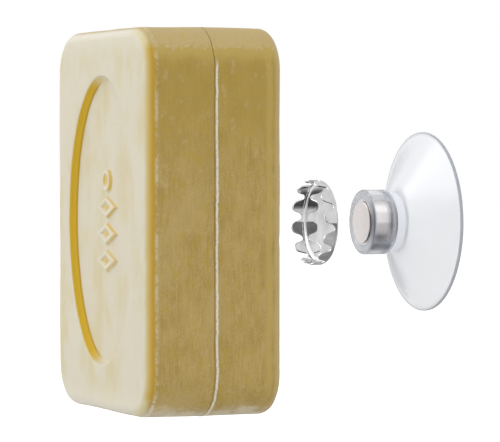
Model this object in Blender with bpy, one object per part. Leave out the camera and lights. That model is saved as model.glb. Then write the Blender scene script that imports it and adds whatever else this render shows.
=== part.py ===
"""A magnetic soap holder, taken apart along its own axis.

A clear suction cup grips the wall and carries a disc magnet in its head. A thin steel cap with a ring of teeth is
pushed into the back of a bar of soap, and the magnet holds the cap.

The origin is the centre of the suction cup's rim, on the wall. +Z is up and the wall is on the +Y side, so the holder
stands out along -Y. A height below is a distance from the wall, measured out along -Y.
"""

import math

import bmesh
import bpy
from mathutils import Vector

MM = 0.001
DEGREE = math.pi / 180

# Two pieces that touch keep this gap, so that their solids never share space
TOUCH_GAP = 0.3 * MM

# The suction cup: rim, skirt, neck and head, one soft clear moulding
RIM_RADIUS = 25.0 * MM
RIM_THICKNESS = 1.0 * MM
RIM_ROUND = 0.25 * MM
RIM_LAND = 1.0 * MM
SKIRT_RISE = 8.1 * MM
SKIRT_HOLLOW = 0.8 * MM
CAVITY_DEPTH = 9.0 * MM
CAVITY_FLAT_RADIUS = 2.0 * MM
CAVITY_SLOPE = 20 * DEGREE
NECK_RADIUS = 8.2 * MM
NECK_LENGTH = 3.0 * MM
HEAD_RADIUS = 9.0 * MM
HEAD_LENGTH = 7.0 * MM
HEAD_FRONT_ROUND = 0.9 * MM
HEAD_BACK_ROUND = 0.5 * MM
POCKET_MOUTH_ROUND = 0.2 * MM

# The magnet and the film of glue behind it
MAGNET_RADIUS = 6.0 * MM
MAGNET_LENGTH = 7.5 * MM
MAGNET_EDGE_ROUND = 0.3 * MM
MAGNET_PROUD = 0.3 * MM
GLUE_THICKNESS = 0.3 * MM
GLUE_MARGIN = 0.4 * MM

# The toothed cap, pressed from thin sheet
CAP_RADIUS = 11.75 * MM
CAP_SHEET = 0.4 * MM
CAP_BEND_RADIUS = 0.9 * MM
CAP_COLLAR = 1.4 * MM
TOOTH_COUNT = 12
TOOTH_LENGTH = 3.0 * MM
TOOTH_VALLEY_RADIUS = 1.1 * MM
TOOTH_FLANK_LEAN = 18 * DEGREE
TOOTH_TURN = 8.2 * DEGREE

# The bar of soap
BAR_WIDTH = 72.0 * MM
BAR_HEIGHT = 102.6 * MM
BAR_THICKNESS = 38.0 * MM
BAR_CORNER_RADIUS = 11.5 * MM
BAR_EDGE_ROUND = 3.0 * MM
BAR_DRAFT = 0.5 * DEGREE
BAR_CENTRE_RISE = 1.1 * MM
SEAM_WIDTH = 0.8 * MM
SEAM_HEIGHT = 0.25 * MM
RECESS_SIDE_MARGIN = 10.5 * MM
RECESS_END_MARGIN = 12.5 * MM
RECESS_DEPTH = 2.2 * MM
RECESS_COVE = 1.3 * MM
TOOTH_PRINT_CLEARANCE = 0.3 * MM

# The ornament that stands on the recess's floor: three lozenges and a bead, in an upright row
ORNAMENT_HEIGHT = 0.9 * MM
ORNAMENT_PITCH = 7.2 * MM
ORNAMENT_SLOPE = 0.7 * MM
LOZENGE_COUNT = 3
LOZENGE_LENGTH = 14.0 * MM
LOZENGE_WIDTH = 6.2 * MM
BEAD_DIAMETER = 6.0 * MM

# How far the photograph shows the pieces pulled apart from where they seat
CAP_PULLED = 11.5 * MM
BAR_PULLED = 26.4 * MM

# How finely curves are cut
ROUND_STEPS = 72
ARC_STEPS = 4
CURVE_STEPS = 8
TOOTH_ARC_STEPS = 3
CORNER_STEPS = 6
SIDE_STEPS = 10

# Heights from the wall that follow from the sizes above
SKIRT_TOP = RIM_THICKNESS + SKIRT_RISE
HEAD_BACK = SKIRT_TOP + NECK_LENGTH
HEAD_FRONT = HEAD_BACK + HEAD_LENGTH
MAGNET_FRONT = HEAD_FRONT + MAGNET_PROUD
MAGNET_BACK = MAGNET_FRONT - MAGNET_LENGTH
GLUE_FRONT = MAGNET_BACK - TOUCH_GAP
GLUE_BACK = GLUE_FRONT - GLUE_THICKNESS
POCKET_FLOOR = GLUE_BACK - TOUCH_GAP
POCKET_RADIUS = MAGNET_RADIUS + TOUCH_GAP
CAP_BACK = MAGNET_FRONT + TOUCH_GAP + CAP_PULLED
CAP_SEATED_BAR = CAP_SHEET + TOUCH_GAP
BAR_BACK = CAP_BACK + CAP_SEATED_BAR + BAR_PULLED


def clear_scene():
    for old in list(bpy.data.objects):
        bpy.data.objects.remove(old)


def point(across, height, up):
    """A point given by its place across the holder, its height from the wall, and its place up."""
    return Vector((across, -height, up))


def material(name, colour, roughness, metallic=0.0, alpha=1.0):
    made = bpy.data.materials.new(name)
    made.use_nodes = True
    shader = made.node_tree.nodes["Principled BSDF"]
    shader.inputs["Base Color"].default_value = (*colour, 1.0)
    shader.inputs["Roughness"].default_value = roughness
    shader.inputs["Metallic"].default_value = metallic
    shader.inputs["Alpha"].default_value = alpha
    made.diffuse_color = (*colour, alpha)
    return made


def arc(centre, radius, first, last, steps=ARC_STEPS):
    """Points on a round, as (distance from the axis, height); angles run from outwards, 0, to away from the wall, 90."""
    turned = [(first + (last - first) * n / steps) * DEGREE for n in range(steps + 1)]
    return [(centre[0] + radius * math.cos(a), centre[1] + radius * math.sin(a)) for a in turned]


def bezier(controls, steps=CURVE_STEPS):
    """Points on the Bezier curve that the control points give, by repeated halving between them."""
    curve = []
    for n in range(steps + 1):
        t = n / steps
        row = [Vector(c) for c in controls]
        while len(row) > 1:
            row = [a.lerp(b, t) for a, b in zip(row, row[1:])]
        curve.append(tuple(row[0]))
    return curve


def circle(radius, height):
    turns = [2 * math.pi * n / ROUND_STEPS for n in range(ROUND_STEPS)]
    return [point(radius * math.cos(a), height, radius * math.sin(a)) for a in turns]


def closed_solid(name, loops):
    """A solid whose skin runs through a row of loops with equally many points, with a flat face at each end."""
    bm = bmesh.new()
    rings = [[bm.verts.new(p) for p in loop] for loop in loops]
    for ring, following in zip(rings, rings[1:]):
        for n in range(len(ring)):
            bm.faces.new((ring[n - 1], ring[n], following[n], following[n - 1]))
    bm.faces.new(rings[0])
    bm.faces.new(rings[-1])
    bmesh.ops.recalc_face_normals(bm, faces=bm.faces)
    mesh = bpy.data.meshes.new(name)
    bm.to_mesh(mesh)
    bm.free()
    return mesh


def turned_solid(name, profile):
    """A solid turned about the holder's axis from (distance from the axis, height) points."""
    return closed_solid(name, [circle(*at) for at in profile])


def travel(name, height, parent=None):
    """An empty on the holder's axis, which a moving piece slides along. Its own height is from its parent's."""
    empty = bpy.data.objects.new(name, None)
    empty.empty_display_size = CAP_RADIUS
    bpy.context.scene.collection.objects.link(empty)
    empty.parent = parent
    empty.location = point(0, height, 0)
    return empty


def piece(mesh, finish, parent=None):
    made = bpy.data.objects.new(mesh.name, mesh)
    bpy.context.scene.collection.objects.link(made)
    made.parent = parent
    mesh.materials.append(finish)
    mesh.shade_smooth()
    mesh.set_sharp_from_angle(angle=30 * DEGREE)
    return made


def tool(mesh, parent=None):
    """A shape that only cuts or joins another piece, and isn't a piece itself."""
    made = bpy.data.objects.new(mesh.name, mesh)
    bpy.context.scene.collection.objects.link(made)
    made.parent = parent
    made.hide_render = True
    made.display_type = "WIRE"
    return made


def use_tool(on, with_tool, operation):
    boolean = on.modifiers.new(with_tool.name, "BOOLEAN")
    boolean.operation = operation
    boolean.solver = "EXACT"
    boolean.object = with_tool


def suction_cup():
    """The pocket, the head, the neck, the skirt's front, the rim, and the hollow that faces the wall."""
    pocket = [(POCKET_RADIUS, POCKET_FLOOR)]
    mouth_centre = POCKET_RADIUS + POCKET_MOUTH_ROUND, HEAD_FRONT - POCKET_MOUTH_ROUND
    mouth = arc(mouth_centre, POCKET_MOUTH_ROUND, 180, 90, 2)
    front_centre = HEAD_RADIUS - HEAD_FRONT_ROUND, HEAD_FRONT - HEAD_FRONT_ROUND
    back_centre = HEAD_RADIUS - HEAD_BACK_ROUND, HEAD_BACK + HEAD_BACK_ROUND
    head = arc(front_centre, HEAD_FRONT_ROUND, 90, 0) + arc(back_centre, HEAD_BACK_ROUND, 0, -90, 3)
    neck_foot = Vector((NECK_RADIUS, SKIRT_TOP))
    rim_front = Vector((RIM_RADIUS - RIM_ROUND, RIM_THICKNESS))
    run = rim_front - neck_foot
    inwards = Vector((run.y, -run.x)).normalized()
    flare = neck_foot.lerp(rim_front, 0.5) + inwards * 2 * SKIRT_HOLLOW
    skirt = [(NECK_RADIUS, HEAD_BACK)] + bezier([neck_foot, flare, rim_front])
    edge = RIM_RADIUS - RIM_ROUND
    rim = arc((edge, RIM_THICKNESS - RIM_ROUND), RIM_ROUND, 60, 0, 2) + arc((edge, RIM_ROUND), RIM_ROUND, 0, -90, 2)
    land = edge - RIM_LAND
    reach = (land - CAVITY_FLAT_RADIUS) / 2
    lip = land - reach * math.cos(CAVITY_SLOPE), reach * math.sin(CAVITY_SLOPE)
    dome = CAVITY_FLAT_RADIUS + reach / 2, CAVITY_DEPTH
    hollow = bezier([(land, 0.0), lip, dome, (CAVITY_FLAT_RADIUS, CAVITY_DEPTH)])
    mesh = turned_solid("suction_cup", pocket + mouth + head + skirt + rim + hollow)
    return piece(mesh, material("clear_soft_plastic", (0.86, 0.88, 0.92), 0.08, alpha=0.35))


def glue_film(parent):
    radius = MAGNET_RADIUS - GLUE_MARGIN
    bulge = GLUE_THICKNESS / 2
    side = arc((radius - bulge, GLUE_BACK + bulge - MAGNET_BACK), bulge, -90, 90, 2)
    mesh = turned_solid("glue_film", side)
    return piece(mesh, material("clear_glue", (0.92, 0.88, 0.76), 0.25, alpha=0.6), parent)


def magnet(parent):
    edge = MAGNET_RADIUS - MAGNET_EDGE_ROUND
    back = arc((edge, MAGNET_EDGE_ROUND), MAGNET_EDGE_ROUND, -90, 0, 3)
    front = arc((edge, MAGNET_LENGTH - MAGNET_EDGE_ROUND), MAGNET_EDGE_ROUND, 0, 90, 3)
    mesh = turned_solid("magnet", back + front)
    return piece(mesh, material("nickel_plate", (0.80, 0.78, 0.75), 0.18, metallic=1.0), parent)


def tooth_outline(grown=0.0):
    """One tooth and half a valley on each side, as (distance round the wall, height above the cap's back).

    A round tip and round valleys are joined by straight flanks that touch both. A grown outline lies outside the
    real one by that much all along, which gives the print that the teeth leave in the bar.
    """
    half_pitch = math.pi * (CAP_RADIUS - CAP_SHEET / 2) / TOOTH_COUNT
    lean = TOOTH_FLANK_LEAN
    slope_share = math.sin(lean) * (TOOTH_LENGTH - TOOTH_VALLEY_RADIUS)
    flank_share = math.cos(lean) * half_pitch - slope_share - TOOTH_VALLEY_RADIUS
    tip_radius = flank_share / (1 - math.sin(lean))
    tip_centre = CAP_COLLAR + TOOTH_LENGTH - tip_radius
    valley_centre = CAP_COLLAR + TOOTH_VALLEY_RADIUS
    half = []
    for n in range(TOOTH_ARC_STEPS + 1):
        a = math.pi / 2 + (lean - math.pi / 2) * n / TOOTH_ARC_STEPS
        reach = tip_radius + grown
        half.append((reach * math.cos(a), tip_centre + reach * math.sin(a)))
    for n in range(TOOTH_ARC_STEPS):
        a = lean + (math.pi / 2 - lean) * n / TOOTH_ARC_STEPS
        reach = TOOTH_VALLEY_RADIUS - grown
        half.append((half_pitch - reach * math.cos(a), valley_centre - reach * math.sin(a)))
    other_half = [(-round_wall, height) for round_wall, height in reversed(half[1:])]
    return other_half + half + [(half_pitch, CAP_COLLAR + grown)]


def toothed_edge(grown=0.0):
    """The whole ring's edge, as (angle about the axis, height above the cap's back)."""
    edge = []
    for n in range(TOOTH_COUNT):
        middle = TOOTH_TURN + 2 * math.pi * n / TOOTH_COUNT
        for round_wall, height in tooth_outline(grown):
            edge.append((middle + round_wall / (CAP_RADIUS - CAP_SHEET / 2), height))
    return edge


def edge_loop(edge, radius, height=None):
    """A loop with a point at each angle of a toothed edge: at one height, or along the edge itself."""
    loop = []
    for angle, at in edge:
        level = at if height is None else height
        loop.append(point(radius * math.cos(angle), level, radius * math.sin(angle)))
    return loop


def toothed_cap(parent):
    """A flat floor, a bend, and a wall that ends in teeth, all of one sheet."""
    edge = toothed_edge()
    inner = CAP_RADIUS - CAP_SHEET
    bend_centre = CAP_RADIUS - CAP_BEND_RADIUS, CAP_BEND_RADIUS
    outer_bend = arc(bend_centre, CAP_BEND_RADIUS, -90, 0)
    inner_bend = arc(bend_centre, CAP_BEND_RADIUS - CAP_SHEET, 0, -90)
    outside = [edge_loop(edge, *at) for at in outer_bend]
    wall = [edge_loop(edge, CAP_RADIUS), edge_loop(edge, inner)]
    inside = [edge_loop(edge, *at) for at in inner_bend]
    mesh = closed_solid("toothed_cap", outside + wall + inside)
    return piece(mesh, material("polished_steel", (0.72, 0.72, 0.73), 0.12, metallic=1.0), parent)


def bar_outline(inset, height):
    """The bar's rounded outline, drawn in by inset, starting halfway up the right side."""
    half_width = BAR_WIDTH / 2 - inset
    half_height = BAR_HEIGHT / 2 - inset
    radius = BAR_CORNER_RADIUS - inset
    corner_x, corner_z = half_width - radius, half_height - radius
    outline = []
    for quarter, (side_x, side_z) in enumerate(((1, 1), (-1, 1), (-1, -1), (1, -1))):
        for n in range(CORNER_STEPS + 1):
            a = math.pi / 2 * (quarter + n / CORNER_STEPS)
            x = side_x * corner_x + radius * math.cos(a)
            z = side_z * corner_z + radius * math.sin(a)
            outline.append(point(x, height, z + BAR_CENTRE_RISE))
    return with_straights_cut(outline)


def with_straights_cut(outline):
    """The outline with more points on its four straight sides, so that a round form can join it."""
    cut = []
    for n, at in enumerate(outline):
        cut.append(at)
        if n % (CORNER_STEPS + 1) == CORNER_STEPS:
            following = outline[(n + 1) % len(outline)]
            cut += [at.lerp(following, s / SIDE_STEPS) for s in range(1, SIDE_STEPS)]
    return cut


def recess_loop(inset, height):
    """An oval on the bar's front, drawn in by inset from the recess's rim, in step with the bar's outline."""
    half_width = BAR_WIDTH / 2 - RECESS_SIDE_MARGIN - inset
    half_height = BAR_HEIGHT / 2 - RECESS_END_MARGIN - inset
    loop = []
    for at in bar_outline(0.0, height):
        a = math.atan2((at.z - BAR_CENTRE_RISE) / BAR_HEIGHT, at.x / BAR_WIDTH)
        loop.append(point(half_width * math.cos(a), height, half_height * math.sin(a) + BAR_CENTRE_RISE))
    return loop


def drafted(height):
    """How far the bar's side lies inside its widest outline, which is at the seam halfway through."""
    return abs(height - BAR_THICKNESS / 2) * math.tan(BAR_DRAFT)


def bar_side():
    """Loops up the bar's side: back edge, back half, the raised seam, front half and front edge."""
    low = BAR_EDGE_ROUND
    high = BAR_THICKNESS - BAR_EDGE_ROUND
    seam = BAR_THICKNESS / 2
    half_seam = SEAM_WIDTH / 2
    loops = []
    for n in range(ARC_STEPS + 1):
        a = math.pi / 2 * n / ARC_STEPS
        inset = BAR_EDGE_ROUND * (1 - math.sin(a)) + drafted(low)
        loops.append(bar_outline(inset, BAR_EDGE_ROUND * (1 - math.cos(a))))
    loops.append(bar_outline(drafted(seam - half_seam), seam - half_seam))
    loops.append(bar_outline(-SEAM_HEIGHT, seam - half_seam / 2))
    loops.append(bar_outline(-SEAM_HEIGHT, seam + half_seam / 2))
    loops.append(bar_outline(drafted(seam + half_seam), seam + half_seam))
    for n in range(ARC_STEPS + 1):
        a = math.pi / 2 * n / ARC_STEPS
        inset = BAR_EDGE_ROUND * (1 - math.cos(a)) + drafted(high)
        loops.append(bar_outline(inset, high + BAR_EDGE_ROUND * math.sin(a)))
    return loops


def bar_recess():
    """Loops from the recess's rim down its coved wall to its floor."""
    loops = []
    for n in range(ARC_STEPS + 1):
        a = math.pi / 2 * n / ARC_STEPS
        inset = RECESS_COVE * (1 - math.cos(a))
        loops.append(recess_loop(inset, BAR_THICKNESS - RECESS_DEPTH * math.sin(a)))
    return loops


def raised_shape(name, base, parent):
    """A low frustum on the recess's floor, whose top is drawn in along the base's own slopes."""
    floor = BAR_THICKNESS - RECESS_DEPTH
    middle = sum(base, Vector((0, 0))) / len(base)
    widest = max((p - middle).length for p in base)
    top = [middle + (p - middle) * (1 - ORNAMENT_SLOPE / widest) for p in base]
    sunk = floor - ORNAMENT_HEIGHT
    loops = [
        [point(p.x, sunk, p.y) for p in base],
        [point(p.x, floor, p.y) for p in base],
        [point(p.x, floor + ORNAMENT_HEIGHT, p.y) for p in top],
    ]
    return tool(closed_solid(name, loops), parent)


def ornament(bar, parent):
    """Three lozenges and a bead in an upright row, centred on the recess and joined to its floor."""
    row_length = LOZENGE_COUNT * ORNAMENT_PITCH
    for n in range(LOZENGE_COUNT):
        z = BAR_CENTRE_RISE - row_length / 2 + n * ORNAMENT_PITCH
        half_length, half_width = LOZENGE_LENGTH / 2, LOZENGE_WIDTH / 2
        base = [Vector(p) for p in ((half_length, z), (0, z + half_width), (-half_length, z), (0, z - half_width))]
        use_tool(bar, raised_shape(f"lozenge_{n + 1}", base, parent), "UNION")
    z = BAR_CENTRE_RISE + row_length / 2
    turns = [2 * math.pi * n / 16 for n in range(16)]
    base = [Vector((BEAD_DIAMETER / 2 * math.cos(a), z + BEAD_DIAMETER / 2 * math.sin(a))) for a in turns]
    use_tool(bar, raised_shape("bead", base, parent), "UNION")


def tooth_print(parent):
    """The ring of slots that the cap's teeth press into the bar's back, a clearance larger than the teeth."""
    edge = toothed_edge(TOOTH_PRINT_CLEARANCE)
    outer = CAP_RADIUS + TOOTH_PRINT_CLEARANCE
    inner = CAP_RADIUS - CAP_SHEET - TOOTH_PRINT_CLEARANCE
    sunk = [(angle, height - CAP_SEATED_BAR) for angle, height in edge]
    loops = [
        edge_loop(sunk, outer, -CAP_COLLAR),
        edge_loop(sunk, outer),
        edge_loop(sunk, inner),
        edge_loop(sunk, inner, -CAP_COLLAR),
    ]
    return tool(ring_solid("tooth_print", loops), parent)


def ring_solid(name, loops):
    """A solid ring whose skin runs through a row of loops and back to the first."""
    bm = bmesh.new()
    rings = [[bm.verts.new(p) for p in loop] for loop in loops]
    for ring, following in zip(rings, rings[1:] + rings[:1]):
        for n in range(len(ring)):
            bm.faces.new((ring[n - 1], ring[n], following[n], following[n - 1]))
    bmesh.ops.recalc_face_normals(bm, faces=bm.faces)
    mesh = bpy.data.meshes.new(name)
    bm.to_mesh(mesh)
    bm.free()
    return mesh


def soap_bar(parent):
    mesh = closed_solid("soap_bar", bar_side() + bar_recess())
    bar = piece(mesh, material("olive_soap", (0.58, 0.46, 0.20), 0.55), parent)
    ornament(bar, parent)
    use_tool(bar, tooth_print(parent), "DIFFERENCE")
    return bar


def build():
    clear_scene()
    suction_cup()
    press_travel = travel("press_travel", MAGNET_BACK)
    glue_film(press_travel)
    magnet(press_travel)
    cap_travel = travel("cap_travel", CAP_BACK - MAGNET_BACK, press_travel)
    toothed_cap(cap_travel)
    bar_travel = travel("bar_travel", BAR_BACK - CAP_BACK, cap_travel)
    soap_bar(bar_travel)


build()
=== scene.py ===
# %% [markdown]
# # A magnetic soap holder
#
# The holder has four things to show: a bar of olive soap, a thin steel cap with a ring of teeth, a disc
# magnet, and a clear suction cup that carries the magnet in its head. They stand pulled apart along one
# axis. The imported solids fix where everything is, and the cells below give each piece its worn edges, its
# finish and its light. Lengths are in millimetres and are turned into metres when a mesh is made. In the
# finishes and on the floor they are in metres, as shader nodes measure.

import math
import random

import bmesh
import bpy
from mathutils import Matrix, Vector, noise


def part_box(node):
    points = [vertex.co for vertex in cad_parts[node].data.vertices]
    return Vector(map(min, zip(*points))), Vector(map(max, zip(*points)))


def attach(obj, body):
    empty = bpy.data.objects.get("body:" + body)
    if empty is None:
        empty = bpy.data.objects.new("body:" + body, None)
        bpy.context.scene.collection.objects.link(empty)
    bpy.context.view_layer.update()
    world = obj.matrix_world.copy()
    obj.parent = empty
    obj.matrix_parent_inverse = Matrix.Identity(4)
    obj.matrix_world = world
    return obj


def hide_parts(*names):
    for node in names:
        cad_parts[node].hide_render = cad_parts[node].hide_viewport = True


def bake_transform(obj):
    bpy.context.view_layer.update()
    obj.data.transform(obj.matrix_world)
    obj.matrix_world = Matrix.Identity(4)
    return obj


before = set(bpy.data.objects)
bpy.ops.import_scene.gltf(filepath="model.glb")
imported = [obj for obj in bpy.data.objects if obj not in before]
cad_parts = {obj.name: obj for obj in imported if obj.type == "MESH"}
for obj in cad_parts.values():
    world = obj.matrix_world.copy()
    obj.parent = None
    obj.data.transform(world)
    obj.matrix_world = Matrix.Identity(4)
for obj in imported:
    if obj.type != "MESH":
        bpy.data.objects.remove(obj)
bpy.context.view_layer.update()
MM = 0.001
print("nodes:", sorted(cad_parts))

# %% [markdown]
# The holder's axis runs along -Y, away from the wall, and a height is a distance from the wall along it.
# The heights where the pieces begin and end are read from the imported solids, so that the pieces made
# below always stand where the solids stand.


# %% Read where the pieces stand
def span(node):
    """The node's lowest and highest corners as (across, height from the wall, up), in millimetres."""
    low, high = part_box(node)
    return (low.x / MM, -high.y / MM, low.z / MM), (high.x / MM, -low.y / MM, high.z / MM)


bar_low, bar_high = span("soap_bar")
cap_low, cap_high = span("toothed_cap")
magnet_low, magnet_high = span("magnet")
cup_low, cup_high = span("suction_cup")
print("bar from", round(bar_low[1], 2), "to", round(bar_high[1], 2), "mm from the wall")
print("cap from", round(cap_low[1], 2), "to", round(cap_high[1], 2), "mm from the wall")

# %% [markdown]
# The camera comes first, because everything is judged through it. It looks at the set almost from the
# side and a little from above, with a long lens from far away, so that the bar's sides hardly taper. The
# turn and the rise are angles round the object, as on a tripod that circles it.

# %% Set up the camera
CAMERA_TURN = 67.44
CAMERA_RISE = 1.35
CAMERA_DISTANCE = 847.6
CAMERA_AIM = (0.0, 52.85, 0.6)
CAMERA_SENSOR = 36.0
CAMERA_LENS = 222.8
CAMERA_NEAREST = 0.01


def place(across, height, up):
    """A point of the frame in metres, from how far across, away from the wall and up it is."""
    return Vector((across, -height, up)) * MM


def set_up(name, data, turn, rise, distance):
    """A camera or a lamp that looks at the middle of the set from a turn and a rise in degrees."""
    a, e = math.radians(turn), math.radians(rise)
    back = Vector((math.sin(a) * math.cos(e), -math.cos(a) * math.cos(e), math.sin(e)))
    made = bpy.data.objects.new(name, data)
    bpy.context.scene.collection.objects.link(made)
    made.location = place(*CAMERA_AIM) + back * distance * MM
    made.rotation_euler = (-back).to_track_quat("-Z", "Y").to_euler()
    return made


camera = set_up("camera", bpy.data.cameras.new("camera"), CAMERA_TURN, CAMERA_RISE, CAMERA_DISTANCE)
camera.data.sensor_width = CAMERA_SENSOR
camera.data.lens = CAMERA_LENS
camera.data.clip_start = CAMERA_NEAREST
bpy.context.scene.camera = camera
print("camera at", [round(c, 3) for c in camera.location])

# %% [markdown]
# Finishes are made from shader nodes. Sums on masks and noises read best as plain expressions, so `Value`
# wraps a socket and turns `+`, `-` and `*` into Math nodes. `Bench` is the table that a finish is put
# together on: its `add` makes any node, gives it its settings, and wires or sets its sockets.


# %% A small bench for shader nodes
class Value:
    """The output of a shader node, which can be used in sums and products."""

    def __init__(self, bench, socket):
        self.bench = bench
        self.socket = socket

    def __add__(self, other):
        return self.bench.maths("ADD", self, other)

    __radd__ = __add__

    def __sub__(self, other):
        return self.bench.maths("SUBTRACT", self, other)

    def __rsub__(self, other):
        return self.bench.maths("SUBTRACT", other, self)

    def __mul__(self, other):
        return self.bench.maths("MULTIPLY", self, other)

    __rmul__ = __mul__


class Bench:
    """The node tree of one finish, with short ways to add nodes to it."""

    def __init__(self, tree):
        self.tree = tree
        self.shader = None

    def add(self, kind, settings=None, inputs=None, output=0):
        node = self.tree.nodes.new(kind)
        for name, setting in (settings or {}).items():
            setattr(node, name, setting)
        for name, given in (inputs or {}).items():
            if isinstance(given, Value):
                self.tree.links.new(given.socket, node.inputs[name])
            else:
                node.inputs[name].default_value = given
        return Value(self, node.outputs[output])

    def maths(self, operation, first, second):
        return self.add("ShaderNodeMath", {"operation": operation}, {0: first, 1: second})

    def magnitude(self, value):
        return self.maths("ABSOLUTE", value, 0.0)

    def ramp(self, value, low, high):
        """0 below low, 1 above high, and a smooth rise between them."""
        inputs = {"Value": value, "From Min": low, "From Max": high}
        return self.add("ShaderNodeMapRange", {"interpolation_type": "SMOOTHSTEP"}, inputs)

    def band(self, value, low, high, width):
        """1 where value is between low and high, with soft ends of the given width."""
        return self.ramp(value, low, low + width) - self.ramp(value, high - width, high)

    def mix(self, first, second, share):
        """A colour between two colours."""
        inputs = {0: share, 6: first, 7: second}
        return self.add("ShaderNodeMix", {"data_type": "RGBA"}, inputs, 2)

    def coats(self, colour, *coats):
        """Colours laid over a first one, each with how much of it shows."""
        for coat, share in coats:
            colour = self.mix(colour, coat, share)
        return colour

    def spot(self, at, centre, outer, inner):
        """1 within inner of the centre, 0 beyond outer."""
        away = self.add("ShaderNodeVectorMath", {"operation": "DISTANCE"}, {0: at, 1: centre}, "Value")
        return 1 - self.ramp(away, inner, outer)

    def towards(self, direction, aim, low, high):
        """1 where the direction is close to the aim, by the cosine of the angle between them."""
        inputs = {0: direction, 1: Vector(aim).normalized()}
        facing = self.add("ShaderNodeVectorMath", {"operation": "DOT_PRODUCT"}, inputs, "Value")
        return self.ramp(facing, low, high)

    def position(self):
        """Where a point lies on its own piece, in metres, so that a pattern moves with the piece."""
        return self.add("ShaderNodeTexCoord", output="Object")

    def split(self, vector):
        """The three parts of a vector."""
        parts = self.add("ShaderNodeSeparateXYZ", inputs={0: vector}).socket.node
        return [Value(self, output) for output in parts.outputs]

    def noise(self, vector, per_metre, detail, roughness, stretch=None):
        """Noise around 0.5. Where a part of stretch is below 1, it is drawn out along that axis."""
        if stretch:
            vector = self.add("ShaderNodeVectorMath", {"operation": "MULTIPLY"}, {0: vector, 1: stretch})
        inputs = {"Vector": vector, "Scale": per_metre, "Detail": detail, "Roughness": roughness}
        return self.add("ShaderNodeTexNoise", inputs=inputs)

    def wire(self, **parts):
        """Feeds what changes over the surface into the shader."""
        for socket, value in parts.items():
            self.tree.links.new(value.socket, self.shader.inputs[socket.replace("_", " ")])

    def painted(self, name):
        """A mask that was painted on the mesh's points when it was made."""
        return self.add("ShaderNodeAttribute", {"attribute_name": name}, output="Fac")

    def relief(self, height, strength, distance):
        """A bumpy normal from a height that goes from 0 to 1."""
        inputs = {"Height": height, "Strength": strength, "Distance": distance}
        return self.add("ShaderNodeBump", inputs=inputs)


def srgb(red, green, blue):
    """A colour as it looks on the screen, from 0 to 255, as the linear colour that a shader takes."""
    shares = [part / 255 for part in (red, green, blue)]
    linear = [s / 12.92 if s <= 0.04045 else ((s + 0.055) / 1.055) ** 2.4 for s in shares]
    return (*linear, 1.0)


def new_finish(name, **uniform):
    """A new material's bench. The numbers that are the same all over go on its shader."""
    made = bpy.data.materials.new(name)
    made.use_nodes = True
    bench = Bench(made.node_tree)
    bench.shader = made.node_tree.nodes["Principled BSDF"]
    for socket, number in uniform.items():
        bench.shader.inputs[socket.replace("_", " ")].default_value = number
    return made, bench


def dress(made, finish):
    """Puts a finish on a piece."""
    made.data.materials.clear()
    made.data.materials.append(finish)
    print("finish:", finish.name)


# %% [markdown]
# Every piece here is a skin through a row of loops: closed rings with the same number of points, laid one
# after the other like hoops. It makes a bar, a turned cup and a pressed cap with clean square faces, and
# any loop can be moved a little to wear an edge. Masks can be painted on the points at the same time.


# %% Skin a row of loops
def smooth_step(at, low, high):
    share = min(max((at - low) / (high - low), 0.0), 1.0)
    return share * share * (3 - 2 * share)


def skin(name, loops, masks):
    """An object through loops of (across, height, up) points, with masks of one value a point."""
    bm = bmesh.new()
    rings = [[bm.verts.new(place(*p)) for p in loop] for loop in loops]
    for ring, following in zip(rings, rings[1:]):
        for n in range(len(ring)):
            bm.faces.new((ring[n - 1], ring[n], following[n], following[n - 1]))
    for ring in (rings[0], rings[-1]):
        hub = bm.verts.new(sum((v.co for v in ring), Vector()) / len(ring))
        for n in range(len(ring)):
            bm.faces.new((ring[n - 1], ring[n], hub))
    bmesh.ops.recalc_face_normals(bm, faces=bm.faces)
    mesh = bpy.data.meshes.new(name)
    bm.verts.index_update()
    bm.to_mesh(mesh)
    bm.free()
    mesh.shade_smooth()
    for mask, rows in masks.items():
        values = [value for row in rows for value in row] + [rows[0][0], rows[-1][0]]
        layer = mesh.attributes.new(mask, "FLOAT", "POINT")
        layer.data.foreach_set("value", values)
    made = bpy.data.objects.new(name, mesh)
    bpy.context.scene.collection.objects.link(made)
    print(name, "has", len(mesh.vertices), "points")
    return made


def arc(centre, radius, first, last, steps):
    """Points on a round, as (distance from the axis, height), with angles in degrees."""
    turned = [math.radians(first + (last - first) * n / steps) for n in range(steps + 1)]
    return [(centre[0] + radius * math.cos(a), centre[1] + radius * math.sin(a)) for a in turned]


def bezier(controls, steps):
    """Points on the Bezier curve that the control points give."""
    curve = []
    for n in range(steps + 1):
        row = [Vector(c) for c in controls]
        while len(row) > 1:
            row = [a.lerp(b, n / steps) for a, b in zip(row, row[1:])]
        curve.append(tuple(row[0]))
    return curve


def circle(radius, height, steps):
    turns = [2 * math.pi * n / steps for n in range(steps)]
    return [(radius * math.cos(a), height, radius * math.sin(a)) for a in turns]
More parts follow.
